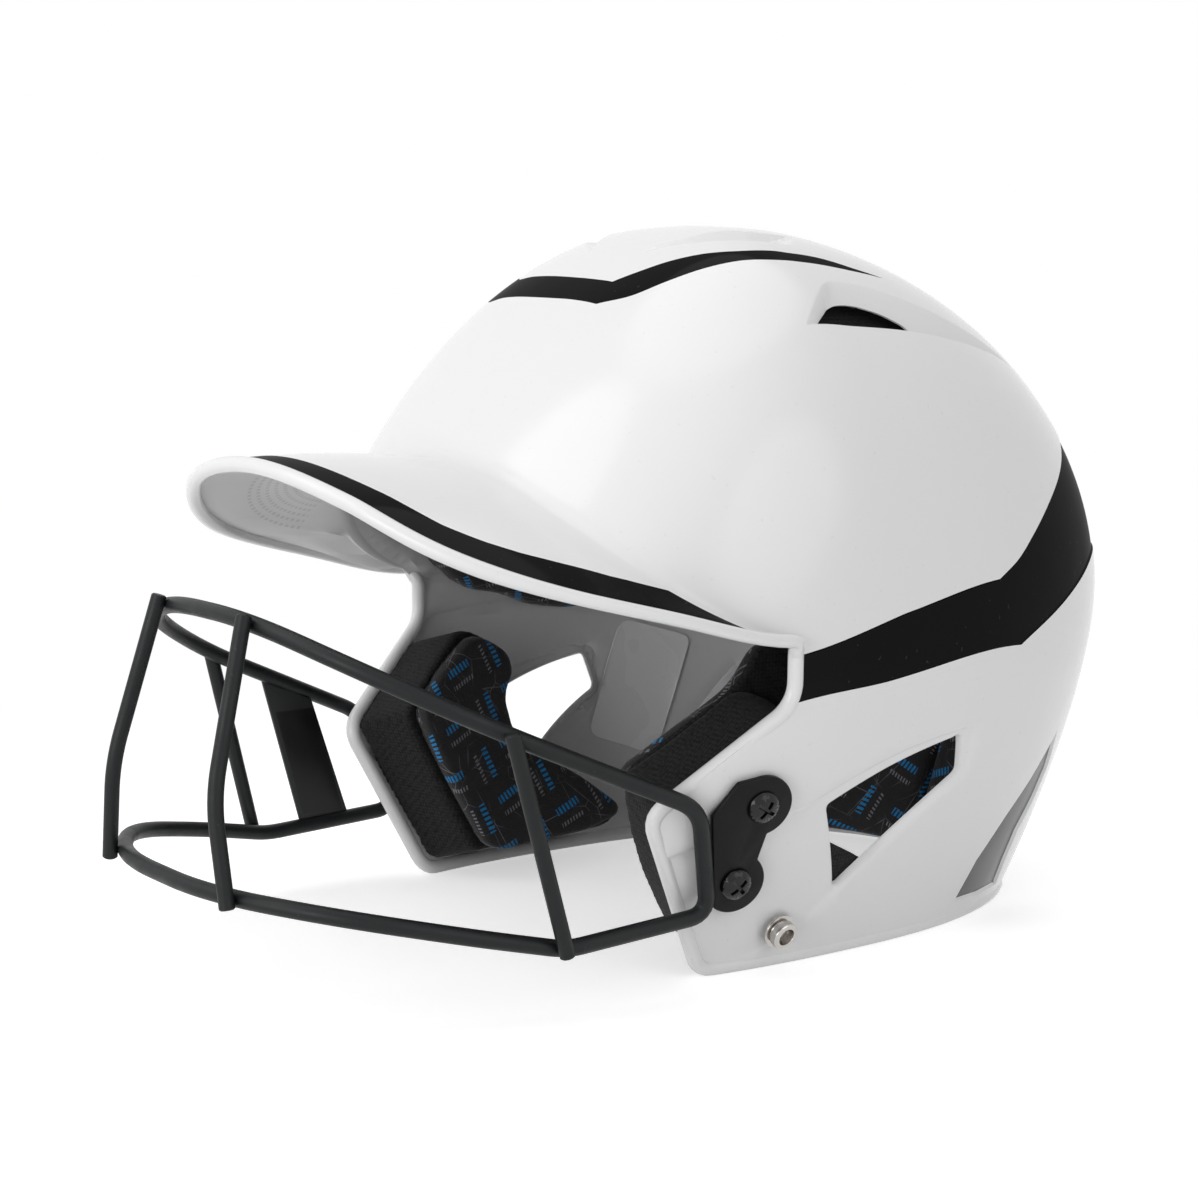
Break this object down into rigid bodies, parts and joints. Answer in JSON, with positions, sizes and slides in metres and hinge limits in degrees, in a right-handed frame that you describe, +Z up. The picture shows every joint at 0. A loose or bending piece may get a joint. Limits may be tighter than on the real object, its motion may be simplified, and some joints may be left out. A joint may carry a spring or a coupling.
{
  "type": "batting helmet with face mask",
  "caption": "Open-face sports helmet with a short peak, ear flaps with ear openings, roof vents, inner pads, and a wire face mask screwed on with a bracket at each side.",
  "frame": {"origin": "centre of the bounding box in plan, on the plane of the shell's flat lower edge", "axes": "+Z up through the crown, -Y the way the peak and the mask point, +X the wearer's left"},
  "size_m": [0.2108, 0.3305, 0.2187],
  "materials": {
    "white_shell": "moulded, polished white, grey-white inside, with black gloss areas",
    "black_wire": "satin black coating on steel wire",
    "black_bracket": "satin black coating on steel plate",
    "black_gloss": "gloss black",
    "black_screw": "gloss black coating on steel",
    "zinc_steel": "zinc plated",
    "nickel": "bright nickel plate",
    "ear_foam": "open black foam",
    "pad_fabric": "black knitted lining with a fine pale line pattern and small blue and white marks",
    "grey_label": "plain light grey film"
  },
  "bodies": {
    "root": {"shell": "white_shell", "mask_loop": "black_wire", "front_bar_left": "black_wire", "front_bar_right": "black_wire", "side_bar_left": "black_wire", "side_bar_right": "black_wire", "bracket_left": "black_bracket", "bracket_right": "black_bracket", "label_plate": "black_gloss", "upper_screw_left": "black_screw", "lower_screw_left": "black_screw", "upper_screw_right": "black_screw", "lower_screw_right": "black_screw", "backing_nuts_left": "zinc_steel", "backing_nuts_right": "zinc_steel", "snap_washer_left": "zinc_steel", "snap_washer_right": "zinc_steel", "snap_stud_left": "nickel", "snap_stud_right": "nickel", "ear_foam_left": "ear_foam", "ear_foam_right": "ear_foam", "ear_cushion_left": "pad_fabric", "ear_cushion_right": "pad_fabric", "side_pad_left": "pad_fabric", "side_pad_right": "pad_fabric", "rear_pad_left": "pad_fabric", "rear_pad_right": "pad_fabric", "brow_pad": "pad_fabric", "crown_pad": "pad_fabric", "inner_label": "grey_label"}
  },
  "joints": []
}
